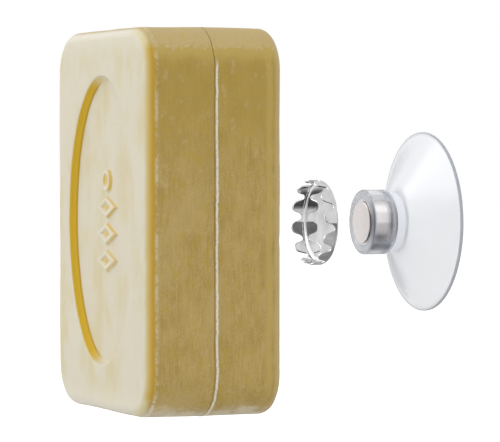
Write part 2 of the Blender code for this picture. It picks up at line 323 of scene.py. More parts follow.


# %% [markdown]
# ## The bar of soap
#
# A bar like this is pressed in a two-part mould. Its big faces are pale, partly a dry bloom and partly
# painted sheen, its sides are olive and a little blotchy, and where the halves of the mould met, a thin
# rough ridge of squeezed-out soap runs all round. The front has a shallow oval recess with a coved wall.
# All of that is one skin, from the middle of the back over the side to the middle of the recess. Each
# loop keeps its points in step with the outline, so that the faces stay square.

# %% The bar's sizes
SEAM_HEIGHT = 0.25
BAR_HALF_WIDTH = (bar_high[0] - bar_low[0]) / 2 - SEAM_HEIGHT
BAR_HALF_HEIGHT = (bar_high[2] - bar_low[2]) / 2 - SEAM_HEIGHT
BAR_MIDDLE = (bar_high[2] + bar_low[2]) / 2
BAR_BACK = bar_low[1]
BAR_THICKNESS = bar_high[1] - bar_low[1]
CORNER_RADIUS = 11.5
EDGE_ROUND = 3.0
DRAFT = math.tan(math.radians(0.5))
RECESS_FROM_SIDE = 10.5
RECESS_FROM_END = 12.5
RECESS_HALF_WIDTH = BAR_HALF_WIDTH - RECESS_FROM_SIDE
RECESS_HALF_HEIGHT = BAR_HALF_HEIGHT - RECESS_FROM_END
RECESS_DEPTH = 2.2
RECESS_COVE = 1.3
RECESS_LIP = 0.4
CORNER_STEPS = 16
LONG_STEPS = 84
SHORT_STEPS = 52
print("bar", [round(n, 1) for n in (2 * BAR_HALF_WIDTH, 2 * BAR_HALF_HEIGHT, BAR_THICKNESS)], "mm")


# %% Loops of the bar
def bar_outline(inset):
    """The bar's outline drawn in by inset, as (across, up) points from its own middle."""
    radius = CORNER_RADIUS - inset
    corners = []
    for quarter, (side_x, side_z) in enumerate(((1, 1), (-1, 1), (-1, -1), (1, -1))):
        x, z = side_x * (BAR_HALF_WIDTH - CORNER_RADIUS), side_z * (BAR_HALF_HEIGHT - CORNER_RADIUS)
        turned = [math.pi / 2 * (quarter + n / CORNER_STEPS) for n in range(CORNER_STEPS + 1)]
        corners.append([Vector((x + radius * math.cos(a), z + radius * math.sin(a))) for a in turned])
    outline = []
    for corner, following, steps in zip(corners, corners[1:] + corners[:1], (SHORT_STEPS, LONG_STEPS) * 2):
        outline += corner + [corner[-1].lerp(following[0], s / steps) for s in range(1, steps)]
    return outline


def outline_lift(at):
    """How much the outline faces up at a point: 1 at the top, -1 at the bottom, 0 on the sides."""
    beyond = max(0.0, abs(at.y) - BAR_HALF_HEIGHT + CORNER_RADIUS)
    return math.copysign(beyond / CORNER_RADIUS, at.y)


BAR_LIFTS = [outline_lift(at) for at in bar_outline(0)]
BAR_ANGLES = [math.atan2(at.y / BAR_HALF_HEIGHT, at.x / BAR_HALF_WIDTH) for at in bar_outline(0)]
BAR_BEARINGS = [math.atan2(at.y, at.x) for at in bar_outline(0)]


def oval(half_width, half_height):
    """An oval whose points are in step with the bar's outline."""
    return [Vector((half_width * math.cos(a), half_height * math.sin(a))) for a in BAR_ANGLES]


def drafted(height):
    """How far the side lies inside the seam's outline, because the mould tapers."""
    return abs(height - BAR_THICKNESS / 2) * DRAFT


print("each of the bar's loops has", len(BAR_ANGLES), "points")

# %% [markdown]
# The recess holds a small raised ornament of the plain kind that moulds carry: three lozenges under a
# bead. The recess's floor is lifted by a height that falls off softly at each shape's edge, because a
# pressed relief has no sharp corners.

# %% The ornament's height
ORNAMENT_HEIGHT = 0.9
ORNAMENT_PITCH = 7.2
LOZENGE_HALF_LENGTH = 8.2
LOZENGE_HALF_WIDTH = 3.3
LOZENGE_CENTRES = [ORNAMENT_PITCH * n for n in (-1.5, -0.5, 0.5)]
BEAD_RADIUS = 3.4
BEAD_CENTRE = ORNAMENT_PITCH * 1.5
ORNAMENT_SLOPE = 0.8
ORNAMENT_RIM = 1.3
ORNAMENT_SINK = 0.6


def inside_ornament(x, z):
    """How far a point lies inside the nearest shape's edge. It is less than 0 outside."""
    slant = LOZENGE_HALF_LENGTH * LOZENGE_HALF_WIDTH / math.hypot(LOZENGE_HALF_LENGTH, LOZENGE_HALF_WIDTH)
    deepest = BEAD_RADIUS - math.hypot(x, z - BEAD_CENTRE)
    for centre in LOZENGE_CENTRES:
        filled = abs(x) / LOZENGE_HALF_LENGTH + abs(z - centre) / LOZENGE_HALF_WIDTH
        deepest = max(deepest, (1 - filled) * slant)
    return deepest


def ornament_height(x, z):
    """Each shape has a raised rim and a sunk middle."""
    inside = inside_ornament(x, z)
    sunk = ORNAMENT_SINK * smooth_step(inside, ORNAMENT_RIM, ORNAMENT_RIM + ORNAMENT_SLOPE)
    return ORNAMENT_HEIGHT * (smooth_step(inside, 0.0, ORNAMENT_SLOPE) - sunk)


print("ornament is", LOZENGE_HALF_LENGTH * 2, "mm wide")

# %% [markdown]
# The cap's teeth are pressed into the bar's back by hand and leave a ring of narrow slots there. The
# slots' bottom follows the teeth's outline, with a small gap all round, so that the cap can come home
# in them.

# %% The teeth's outline, shared by the cap and its print in the bar
CAP_RADIUS = (cap_high[0] - cap_low[0]) / 2
CAP_BACK = cap_low[1]
CAP_SHEET = 0.4
CAP_COLLAR = 1.4
TOOTH_COUNT = 12
TOOTH_LENGTH = cap_high[1] - cap_low[1] - CAP_COLLAR
TOOTH_VALLEY_RADIUS = 1.1
TOOTH_FLANK_LEAN = math.radians(18)
TOOTH_TURN = math.radians(8.2)
PRINT_GAP = 0.3
SEATED_BAR = 0.7


def tooth_edge(bearing):
    """The height of the cap's edge above its back, at a bearing about the axis."""
    half_pitch = math.pi * (CAP_RADIUS - CAP_SHEET / 2) / TOOTH_COUNT
    turned = (bearing - TOOTH_TURN) * TOOTH_COUNT / (2 * math.pi)
    along = abs(turned - round(turned)) * 2 * half_pitch
    lean = TOOTH_FLANK_LEAN
    slope_share = math.sin(lean) * (TOOTH_LENGTH - TOOTH_VALLEY_RADIUS)
    tip_radius = (math.cos(lean) * half_pitch - slope_share - TOOTH_VALLEY_RADIUS) / (1 - math.sin(lean))
    tip_centre = CAP_COLLAR + TOOTH_LENGTH - tip_radius
    valley_centre = CAP_COLLAR + TOOTH_VALLEY_RADIUS
    from_valley = half_pitch - along
    if along < tip_radius * math.cos(lean):
        return tip_centre + math.sqrt(tip_radius ** 2 - along ** 2)
    if from_valley < TOOTH_VALLEY_RADIUS * math.cos(lean):
        return valley_centre - math.sqrt(TOOTH_VALLEY_RADIUS ** 2 - from_valley ** 2)
    foot = tip_centre + tip_radius * math.sin(lean)
    return foot - (along - tip_radius * math.cos(lean)) / math.tan(lean)


print("teeth are", round(TOOTH_LENGTH, 2), "mm long")

# %% [markdown]
# The bar's loops are laid in the order in which a finger could run over it: from the middle of the back
# over the ring of slots, up the side and over the seam, and down the recess's wall to its floor. Masks go
# with each loop and tell the finish what lies there, such as a pressed face, a seam, a slope with painted
# shade or a crest with a painted highlight.

# %% Collect the bar's loops with their masks
class Hoops:
    """The loops laid so far, as (across, height above the bar's back, up from its middle)."""

    def __init__(self):
        names = "pressed", "front_turn", "back_turn", "lift", "slope", "foot", "seam", "chalk"
        self.loops = []
        self.masks = {name: [] for name in names}

    def lay(self, outline, height, front_turn=2.0, back_turn=2.0, **others):
        """Lays an outline. Its height and each mask are one number or a list of one for each point."""
        given = {"front_turn": front_turn, "back_turn": back_turn, "lift": BAR_LIFTS, **others}
        for name, rows in self.masks.items():
            rows.append(self.spread(given.get(name, 0.0)))
        self.loops.append([(x, h, z) for (x, z), h in zip(outline, self.spread(height))])

    def spread(self, value):
        """A list with one value for each point of a loop."""
        return [value] * len(BAR_LIFTS) if isinstance(value, float) else value


# %% Lay the back
BACK_STEPS = 24


def lay_back(hoops):
    """The middle of the back, its ring of slots, and the plain face from there to the edge."""
    outer, inner = CAP_RADIUS + PRINT_GAP, CAP_RADIUS - CAP_SHEET - PRINT_GAP
    # Each loop's radius, and how much of the slot's depth it has.
    slots = [(radius, 0.0) for radius in (1.0, 3.0, 6.0, 9.0)]
    slots += [(inner - 0.25, 0.0), (inner, 0.06), (inner + 0.05, 0.5), (inner + 0.2, 1.0),
              (outer - 0.2, 1.0), (outer - 0.05, 0.5), (outer, 0.06), (outer + 0.25, 0.0)]
    for radius, share in slots:
        ring = [Vector((radius * math.cos(b), radius * math.sin(b) - BAR_MIDDLE)) for b in BAR_BEARINGS]
        depths = [share * (tooth_edge(b) + PRINT_GAP - SEATED_BAR) for b in BAR_BEARINGS]
        # The deep parts of the slots get painted ochre shade.
        sunk = [smooth_step(depth, 0.2, 0.8) for depth in depths]
        hoops.lay(ring, depths, pressed=1.0, back_turn=0.0, slope=sunk)
    edge = bar_outline(EDGE_ROUND + drafted(0))
    for n in range(1, BACK_STEPS):
        points = [a.lerp(b, n / BACK_STEPS) for a, b in zip(ring, edge)]
        hoops.lay(points, 0.0, pressed=1.0, back_turn=0.0)


# %% Lay the side with its seam
EDGE_STEPS = 18
SIDE_STEPS = 15
SEAM_REACH = 1.1
SEAM_CLEAR = 1.2
TURN_FADE = 10.0
# Across the seam: where a loop lies beside it, how far it stands out, and how much seam it shows.
SEAM_PROFILE = ((-SEAM_REACH, 0.0, 0.0), (-0.8, -0.1, -0.2), (-0.62, 0.1, 0.4), (-0.45, 0.7, 1.0),
                (-0.2, 1.0, 1.0), (0.1, 0.8, 1.0), (0.24, 0.1, 0.2), (0.36, -0.4, -1.0),
                (0.52, -0.4, -1.0), (0.7, 0.0, -0.3), (SEAM_REACH, 0.0, 0.0))


def edge_round():
    """The round from a big face to the side: how far in, how far below the face, turn and pressed."""
    for n in range(EDGE_STEPS + 1):
        turn = n / EDGE_STEPS
        a = math.pi / 2 * turn
        inset = EDGE_ROUND * (1 - math.sin(a)) + drafted(EDGE_ROUND)
        yield inset, EDGE_ROUND * (1 - math.cos(a)), turn, 1 - smooth_step(turn, 0.0, 0.5)


def lay_side(hoops):
    """The back edge's round, the side with the seam half way up, and the front edge's round."""
    for inset, below, turn, pressed in edge_round():
        hoops.lay(bar_outline(inset), below, back_turn=turn, pressed=pressed)
    seam, front_edge = BAR_THICKNESS / 2, BAR_THICKNESS - EDGE_ROUND
    for n in range(1, SIDE_STEPS + 1):
        height = EDGE_ROUND + (seam - SEAM_CLEAR - EDGE_ROUND) * n / SIDE_STEPS
        turn = 1 + (height - EDGE_ROUND) / TURN_FADE
        hoops.lay(bar_outline(drafted(height)), height, back_turn=turn)
    standing = [1 - 0.85 * smooth_step(abs(lift), 0.1, 0.6) for lift in BAR_LIFTS]
    for beside, out, shown in SEAM_PROFILE:
        inset = drafted(seam + beside)
        loops = zip(bar_outline(inset), bar_outline(inset - out * SEAM_HEIGHT), standing)
        hoops.lay([plain.lerp(proud, share) for plain, proud, share in loops], seam + beside, seam=shown)
    for n in range(1, SIDE_STEPS):
        height = seam + SEAM_REACH + (front_edge - seam - SEAM_REACH) * n / SIDE_STEPS
        turn = 1 + (front_edge - height) / TURN_FADE
        hoops.lay(bar_outline(drafted(height)), height, front_turn=turn)
    for inset, below, turn, pressed in reversed(list(edge_round())):
        hoops.lay(bar_outline(inset), BAR_THICKNESS - below, front_turn=turn, pressed=pressed)


# %% Lay the front with its recess
FACE_STEPS = 14
LIP_STEPS = 4
COVE_STEPS = 10
WIDE_LOOPS = 12
FINE_LOOPS = 55
TILT_STEP = 0.25
FRONT = {"pressed": 1.0, "front_turn": 0.0}


def recess(inset):
    """The recess's outline drawn in by inset."""
    return oval(RECESS_HALF_WIDTH - inset, RECESS_HALF_HEIGHT - inset)


def lay_lip_and_wall(hoops):
    """The plain face, the recess's rounded lip and its coved wall."""
    edge = bar_outline(EDGE_ROUND + drafted(BAR_THICKNESS))
    rim = recess(-RECESS_LIP)
    for n in range(1, FACE_STEPS):
        hoops.lay([a.lerp(b, n / FACE_STEPS) for a, b in zip(edge, rim)], BAR_THICKNESS, **FRONT)
    # Where the wall faces across it is painted ochre as shade, and darker at its foot.
    facing = [smooth_step(abs(math.cos(a)), 0.05, 0.4) for a in BAR_ANGLES]
    for n in range(LIP_STEPS + 1):
        a = math.pi / 2 * n / LIP_STEPS
        height = BAR_THICKNESS - RECESS_LIP * (1 - math.cos(a))
        wall = smooth_step(n / LIP_STEPS, 0.2, 0.9)
        rim = recess(-RECESS_LIP * (1 - math.sin(a)))
        hoops.lay(rim, height, slope=[f * wall for f in facing], **FRONT)
    for n in range(1, COVE_STEPS + 1):
        a = math.pi / 2 * n / COVE_STEPS
        height = BAR_THICKNESS - RECESS_LIP - (RECESS_DEPTH - RECESS_LIP) * math.sin(a)
        wall = 1 - smooth_step(n / COVE_STEPS, 0.75, 1.0)
        foot = smooth_step(n / COVE_STEPS, 0.5, 0.75)
        hoops.lay(recess(RECESS_COVE * (1 - math.cos(a))), height,
                  slope=[f * wall for f in facing], foot=[f * foot for f in facing], **FRONT)


def lay_floor(hoops):
    """The recess's floor with the ornament. Slopes that face +X and the sunk middles are painted ochre as
    shade, and slopes that face -X and the raised rims get a painted highlight.
    """
    wide = [1 - 0.035 * n for n in range(1, WIDE_LOOPS + 1)]
    fine = [wide[-1] * (1 - n / (FINE_LOOPS + 1)) for n in range(1, FINE_LOOPS + 1)]
    for share in wide + fine:
        points = [p * share for p in recess(RECESS_COVE)]
        heights, slope, chalk = [], [], []
        for x, z in points:
            raised = ornament_height(x, z)
            drop = ornament_height(x - TILT_STEP, z) - ornament_height(x + TILT_STEP, z)
            tilt = drop / (2 * TILT_STEP)
            sunk = smooth_step(inside_ornament(x, z), 1.9, 2.5)
            heights.append(BAR_THICKNESS - RECESS_DEPTH + raised)
            slope.append(max(0.8 * smooth_step(tilt, 0.1, 0.7), 0.7 * sunk))
            chalk.append(max(smooth_step(-tilt, 0.1, 0.7), 0.8 * smooth_step(raised, 0.6, 0.9)))
        hoops.lay(points, heights, slope=slope, chalk=chalk, **FRONT)


bar_hoops = Hoops()
for lay_part in (lay_back, lay_side, lay_lip_and_wall, lay_floor):
    lay_part(bar_hoops)
    print("laid", len(bar_hoops.loops), "loops after", lay_part.__name__)

# %% [markdown]
# A mould is never perfect and a soap bar dries unevenly. A slow wave and a fine one move the loops in and
# out from the bar's core, the seam is rougher than the rest, and a few seeded dents take small bites from
# the edges. Mirrored rays don't see the bar, or its yellow would fill the cap, which should mirror the
# studio alone.

# %% Wear the bar
SLOW_WAVE = 0.16
SLOW_LENGTH = 17.0
FINE_WAVE = 0.035
FINE_LENGTH = 3.1
SEAM_WAVE = 0.16
SEAM_LENGTH = 1.3
# How far the seam strays, the layer of the noise that says so, and over which length.
SEAM_WANDERS = (0.22, 40, 6.0), (0.14, 90, 1.4)
CORE_INSET = 14.0
CORE_DEPTH = 6.0
DENT_COUNT = 46
DENT_INSET = 0.8
DENT_RADII = 1.0, 2.6
DENT_DEPTHS = 0.08, 0.3
random.seed(7)


def dents():
    """Places on the bar's edges, with a radius and a depth."""
    made = []
    outline = bar_outline(DENT_INSET)
    for _ in range(DENT_COUNT):
        at = random.choice(outline)
        height = random.choice((DENT_INSET, BAR_THICKNESS - DENT_INSET))
        radius, depth = random.uniform(*DENT_RADII), random.uniform(*DENT_DEPTHS)
        made.append((Vector((at.x, height, at.y)), radius, depth))
    return made


def outwards(at):
    """The direction away from the bar's core."""
    middle = BAR_THICKNESS / 2
    core = Vector((BAR_HALF_WIDTH - CORE_INSET, middle - CORE_DEPTH, BAR_HALF_HEIGHT - CORE_INSET))
    centred = Vector((at.x, at.y - middle, at.z))
    nearest = Vector([min(max(c, -limit), limit) for c, limit in zip(centred, core)])
    return (centred - nearest).normalized()


def seam_wander(x, z):
    """How far the seam strays from the middle of the side."""
    return sum(far * noise.noise(Vector((x, layer, z)) / length) for far, layer, length in SEAM_WANDERS)


def wear(loops, seam_mask):
    """The same loops with waves, a rough seam and dents, set in their place in the frame."""
    bites = dents()
    worn = []
    for loop, seam in zip(loops, seam_mask):
        row = []
        for (x, height, z), shown in zip(loop, seam):
            at = Vector((x, height, z))
            wave = SLOW_WAVE * noise.noise(at / SLOW_LENGTH) + FINE_WAVE * noise.noise(at / FINE_LENGTH)
            wave += abs(shown) * SEAM_WAVE * noise.noise(Vector((x, 0, z)) / SEAM_LENGTH)
            for centre, radius, depth in bites:
                near = (at - centre).length / radius
                if near < 1:
                    wave -= depth * (1 - near * near) ** 2
            moved = at + outwards(at) * wave
            drift = seam_wander(x, z) * smooth_step(abs(shown), 0.0, 0.2)
            row.append((moved.x, BAR_BACK + moved.y + drift, BAR_MIDDLE + moved.z))
        worn.append(row)
    return worn


bar = skin("soap", wear(bar_hoops.loops, bar_hoops.masks["seam"]), bar_hoops.masks)
bar.visible_glossy = False
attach(bar, "soap")
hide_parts("soap_bar")

# %% [markdown]
# The soap's finish. Slopes that face across, such as the recess's wall, are painted a saturated ochre
# as painted shade, darker at the wall's foot. The sides carry a thin olive veil with upright streaks,
# golden flecks and tan blotches, and are painted lighter towards the top as a painted highlight. The
# pressed faces are pale, partly a dry bloom and partly painted sheen, and the front edge runs from cream
# through honey to ochre, which is painted shade on the side towards +X. The masks painted on the mesh say
# where each is. Sheen gives the dry surface its pale look at a low angle.

# %% The soap's finish
OLIVE = srgb(195, 168, 104)
OLIVE_DARK = srgb(173, 146, 76)
OLIVE_YELLOW = srgb(178, 150, 68)
FLECK = srgb(188, 158, 62)
TAN = srgb(203, 180, 127)
TAN_DARK = srgb(196, 171, 111)
STRAW = srgb(198, 172, 96)
STRAW_PALE = srgb(226, 213, 164)
HONEY = srgb(218, 195, 126)
OCHRE = srgb(200, 158, 50)
AMBER = srgb(226, 188, 50)
AMBER_SHADE = srgb(190, 146, 12)
CREAM = srgb(229, 221, 199)
CREAM_YELLOW = srgb(223, 211, 171)
DUST_AND_HIGHLIGHT_WHITE = srgb(238, 232, 216)
BROWN = srgb(128, 106, 58)


def soap_finish():
    finish, bench = new_finish("olive_soap", Sheen_Weight=0.1, Sheen_Roughness=0.5, IOR=1.4,
                               Specular_IOR_Level=0.3)
    at = bench.position()
    across, _, up = bench.split(at)
    streaks = bench.noise(at, 1500.0, 3.0, 0.6, (1.0, 1.0, 0.12))
    mottle = bench.noise(at, 230.0, 4.0, 0.6, (1.0, 1.0, 0.6))
    blotches = bench.noise(at, 75.0, 3.0, 0.55, (1.0, 1.0, 0.6))
    grain = bench.noise(at, 2200.0, 2.0, 0.6)
    crumbs = bench.noise(at, 900.0, 3.0, 0.7)
    lift = bench.painted("lift")
    upright = 1 - bench.magnitude(lift)
    from_front = bench.painted("front_turn")
    from_back = bench.painted("back_turn")

    # The sides, and at the end of their coats the back edge.
    veil = bench.ramp(0.3 * streaks + 0.4 * mottle + 0.3 * grain, 0.34, 0.62)
    flecks = bench.noise(at, 420.0, 4.0, 0.65, (1.0, 1.0, 0.7))
    toward_top = lift + 0.3 * mottle + 0.1 * crumbs
    dusty = bench.ramp(crumbs, 0.45, 0.7) * bench.band(toward_top, 0.66, 0.78, 0.05)
    side = bench.coats(
        OLIVE_DARK,
        (OLIVE, veil),
        (TAN_DARK, 0.5 * bench.ramp(blotches, 0.5, 0.68)),
        (OLIVE_YELLOW, 0.65 * bench.ramp(up + 0.05 * blotches, 0.035, 0.06)),
        (FLECK, 0.55 * bench.ramp(flecks, 0.52, 0.68)),
        (TAN, 0.4 * bench.ramp(1 - flecks, 0.56, 0.7)),
        # Towards the top the side is painted lighter, a painted highlight from above, with a little dust on
        # it.
        (STRAW, 0.75 * bench.ramp(toward_top, 0.3, 0.62)),
        (bench.mix(TAN_DARK, TAN, veil), bench.ramp(toward_top, 0.68, 0.8)),
        (DUST_AND_HIGHLIGHT_WHITE, 0.3 * dusty),
        (STRAW, 0.4 * bench.ramp(mottle, 0.5, 0.6) * bench.ramp(toward_top, 0.7, 1.0)),
        (DUST_AND_HIGHLIGHT_WHITE, 0.6 * bench.ramp(0.5 * mottle - lift, 0.92, 1.25)),
        (STRAW, 0.6 * upright * bench.band(from_back + 0.2 * mottle, 1.05, 1.32, 0.1)),
        (TAN, 0.8 * (1 - bench.ramp(from_back, 0.62, 0.98))))

    # The pressed faces: pale, partly a dry bloom and partly painted sheen, and paler towards the top and
    # the bottom.
    ends = bench.ramp(bench.magnitude(up - 0.0011) + 0.01 * blotches, 0.047, 0.056)
    face = bench.coats(
        CREAM,
        (CREAM_YELLOW, bench.ramp(0.7 * blotches + 0.3 * mottle, 0.42, 0.66)),
        (DUST_AND_HIGHLIGHT_WHITE, 0.6 * ends))

    # The front edge goes from cream through honey to ochre, a painted shade, on the side towards +X where
    # it stands upright; elsewhere it is pale, a little darker towards +X. It ends in a broken pale line.
    turn = from_front + 0.1 * mottle - 0.05
    shaded_side = bench.ramp(across, 0.018, 0.032)
    pale_edge = bench.coats(
        face,
        (bench.mix(DUST_AND_HIGHLIGHT_WHITE, STRAW_PALE, shaded_side), bench.ramp(turn, 0.05, 0.4)),
        (side, bench.ramp(turn, 0.42, 0.8)))
    gold_edge = bench.coats(
        face,
        (HONEY, bench.ramp(turn, 0.02, 0.42)),
        (OCHRE, bench.ramp(turn, 0.3, 0.72)),
        (side, bench.ramp(turn, 0.68, 0.96)))
    edge = bench.mix(pale_edge, gold_edge, shaded_side * bench.ramp(upright + 0.2 * mottle, 0.35, 0.65))
    dry = bench.ramp(0.5 * crumbs + 0.5 * mottle, 0.4, 0.6) * bench.band(turn, 0.76, 1.04, 0.1)

    # The seam's crust is chalky on its crest and dark in its groove.
    seam = bench.painted("seam")
    low = 1 - bench.ramp(lift + 0.1 * mottle, 0.05, 0.35)
    crust = bench.noise(at, 1700.0, 3.0, 0.7)

    # All of them together. Slopes are painted ochre as shade, darker at the cove's foot, and the ornament's
    # rims and its slopes that face -X get a painted highlight.
    colour = bench.coats(
        side,
        (face, bench.painted("pressed")),
        (edge, 1 - bench.ramp(from_front, 1.0, 1.05)),
        (DUST_AND_HIGHLIGHT_WHITE, (0.36 + 0.4 * bench.ramp(0 - up, 0.036, 0.047)) * dry),
        (bench.mix(AMBER, AMBER_SHADE, bench.painted("foot")), bench.painted("slope")),
        (DUST_AND_HIGHLIGHT_WHITE, 0.7 * bench.painted("chalk")),
        (DUST_AND_HIGHLIGHT_WHITE, 0.95 * low * bench.ramp(seam + 1.0 * crust, 1.1, 1.55)),
        (BROWN, 0.62 * bench.ramp(0.8 * crust - seam, 0.9, 1.5)),
        (BROWN, 0.6 * (1 - low) * bench.ramp(0 - seam, 0.6, 1.0)))
    normal = bench.relief(0.4 * grain + 0.3 * streaks + 0.3 * mottle, 0.3, 0.0003)
    bench.wire(Base_Color=colour, Roughness=0.45 + 0.2 * mottle, Normal=normal)
    return finish


dress(bar, soap_finish())

# %% [markdown]
# ## The suction cup
#
# The cup is one moulding of clear soft plastic. Here it is turned as on a lathe: a profile from the floor
# of the magnet's pocket, over the head, the neck and the skirt, round the rim and back along the hollow.
# Clear plastic shows every flat facet, so the profile and the turn are both cut finely. Two masks say how
# milky each run of the profile looks, and how light that haze is, which is painted light and shade.

# %% Turn the suction cup
RIM_RADIUS = (cup_high[0] - cup_low[0]) / 2
RIM_THICKNESS = 1.0
RIM_ROUND = 0.25
SKIRT_TOP = 9.1
NECK_RADIUS = 8.2
HEAD_RADIUS = 9.0
HEAD_BACK = 12.1
HEAD_FRONT = cup_high[1]
HEAD_FRONT_ROUND = 0.5
HEAD_BACK_ROUND = 0.5
POCKET_RADIUS = 6.3
POCKET_FLOOR = 11.0
POCKET_MOUTH_ROUND = 0.2
SKIRT_HOLLOW = 0.8
LAND_RADIUS = 23.75
CAVITY_DEPTH = 9.0
CAVITY_FLAT_RADIUS = 2.0
CAVITY_SLOPE = math.radians(20)
INNER_ROUND = 0.15
NECK_ROUND = 0.25
SKIRT_STEPS = 30
TURN_STEPS = 192


def between(first, last, steps):
    """Points on a straight run, without its two ends."""
    return [tuple(Vector(first).lerp(Vector(last), n / steps)) for n in range(1, steps)]


def cup_runs():
    """The profile as named runs of (distance from the axis, height), from the pocket to the hollow."""
    pocket = [(r, POCKET_FLOOR) for r in (0.5, 2.0, 4.0, 5.6, POCKET_RADIUS - INNER_ROUND)]
    pocket += arc((POCKET_RADIUS - INNER_ROUND, POCKET_FLOOR + INNER_ROUND), INNER_ROUND, -60, 0, 3)
    mouth_centre = POCKET_RADIUS + POCKET_MOUTH_ROUND, HEAD_FRONT - POCKET_MOUTH_ROUND
    mouth = arc(mouth_centre, POCKET_MOUTH_ROUND, 180, 90, 5)
    pocket += between(pocket[-1], mouth[0], 6)
    front_centre = HEAD_RADIUS - HEAD_FRONT_ROUND, HEAD_FRONT - HEAD_FRONT_ROUND
    front = arc(front_centre, HEAD_FRONT_ROUND, 90, 0, 10)
    back_centre = HEAD_RADIUS - HEAD_BACK_ROUND, HEAD_BACK + HEAD_BACK_ROUND
    back = arc(back_centre, HEAD_BACK_ROUND, 0, -90, 8)
    neck_foot = Vector((NECK_RADIUS, SKIRT_TOP))
    edge = RIM_RADIUS - RIM_ROUND
    rim_front = Vector((edge, RIM_THICKNESS))
    run = rim_front - neck_foot
    inwards = Vector((run.y, -run.x)).normalized()
    middle = neck_foot.lerp(rim_front, 0.5) + inwards * 2 * SKIRT_HOLLOW
    skirt = bezier([neck_foot, middle, rim_front], SKIRT_STEPS)
    neck = arc((NECK_RADIUS + NECK_ROUND, HEAD_BACK - NECK_ROUND), NECK_ROUND, 90, 180, 4)
    neck += between(neck[-1], skirt[0], 5)
    rim = arc((edge, RIM_THICKNESS - RIM_ROUND), RIM_ROUND, 75, 0, 4)
    rim += arc((edge, RIM_ROUND), RIM_ROUND, 0, -90, 5)
    reach = (LAND_RADIUS - CAVITY_FLAT_RADIUS) / 2
    lip = LAND_RADIUS - reach * math.cos(CAVITY_SLOPE), reach * math.sin(CAVITY_SLOPE)
    dome = CAVITY_FLAT_RADIUS + reach / 2, CAVITY_DEPTH
    hollow = bezier([(LAND_RADIUS, 0.0), lip, dome, (CAVITY_FLAT_RADIUS, CAVITY_DEPTH)], SKIRT_STEPS)
    hollow += [(r, CAVITY_DEPTH) for r in (1.4, 0.5)]
    face, side = between(mouth[-1], front[0], 4), between(front[-1], back[0], 6)
    return {"pocket": pocket, "mouth": mouth, "face": face, "front round": front, "side": side,
            "back round": back, "neck": neck, "skirt": skirt, "rim": rim, "hollow": hollow}


# %% Paint the haze and make the cup
# Each pair is how milky a run is and how light its haze is, at its start and at its end; that lightness is
# painted light and shade. The first two pairs hold all round. The next two are added on the side towards
# +X, where they paint the head's edges dark as shade, and the last two on the low side, where they paint a
# dark band of shade at the magnet's foot.
NO_HAZE = (0.0, 0.0), (0.0, 0.0)
HAZE = {
    "pocket": [((0.0, 0.5), (0.0, 0.5))],
    "mouth": [((0.35, 0.8), (0.35, 0.8)), ((0.4, -0.9), (0.4, -0.9))],
    "face": [((0.55, 0.78), (0.6, 0.74)), ((0.25, -0.6), (0.35, -0.7))],
    "front round": [((0.4, 0.65), (0.2, 0.6)), ((0.5, -0.75), (-0.1, -0.1)), ((0.0, 0.0), (0.8, -0.5))],
    "side": [((0.04, 0.3), (0.12, 0.5)), NO_HAZE, ((0.8, -0.3), (0.7, -0.4))],
    "back round": [((0.5, 0.9), (0.5, 0.9)), ((0.3, -0.6), (0.5, -1.5))],
    "neck": [((0.95, 1.0), (0.95, 1.0))],
    "skirt": [((0.55, 1.0), (0.55, 1.0))],
    "rim": [((0.8, 0.5), (0.8, 0.35))],
    "hollow": [((0.04, 0.5), (0.04, 0.5))],
}
LOW_BEARING = math.radians(-49)


def facing(bearing, narrowness):
    """For each column of the turn, 1 where it faces a bearing, and 0 from a quarter turn away."""
    columns = [2 * math.pi * n / TURN_STEPS for n in range(TURN_STEPS)]
    return [max(0.0, math.cos(column - bearing)) ** narrowness for column in columns]


nearness = facing(0.0, 3)
lowness = facing(LOW_BEARING, 22)


def haze_masks(runs):
    """How milky the plastic is and how light its haze is, as painted light and shade, for every point of
    the cup's loops.
    """
    columns = list(zip([1.0] * TURN_STEPS, nearness, lowness))
    masks = {"haze_amount": [], "haze_painted_shade": []}
    for run, points in runs.items():
        for step in range(len(points)):
            share = step / max(len(points) - 1, 1)
            parts = [Vector(start).lerp(Vector(end), share) for start, end in HAZE[run]]
            for rows, levels in zip(masks.values(), zip(*parts)):
                rows.append([max(0.0, sum(level * weight for level, weight in zip(levels, column)))
                             for column in columns])
    return masks


cup_profile = cup_runs()
cup_rows = [row for points in cup_profile.values() for row in points]
cup = skin("clear_suction_cup", [circle(*row, TURN_STEPS) for row in cup_rows], haze_masks(cup_profile))
place(0, SKIRT_TOP, 0)
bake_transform(cup)
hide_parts("suction_cup")

# %% [markdown]
# Clear plastic is a see-through shader that bends light as the plastic does, by about 1.5. The bending
# makes the magnet fill the whole head when it is seen from the side. A cool tint takes a little of the
# light, and a slow wave in the surface stands for the pull marks of a soft moulding.
#
# A soft moulding is also a little milky, because it scatters light inside. A second shader paints that on
# the skin as a haze, mixed in by the first mask and given painted light and shade by the second. It also
# glows faintly, a painted glow that stands in for scattered light coming out on the side away from the
# lamps.


# %% The clear plastic's finish
CLEAR_BENDING = 1.5
CLEAR_COOL = srgb(246, 247, 250)
CLEAR_WHITE = srgb(250, 251, 253)
HAZE_DARK = srgb(66, 67, 84)
HAZE_PALE = srgb(225, 228, 234)
HAZE_GLOW = 0.28


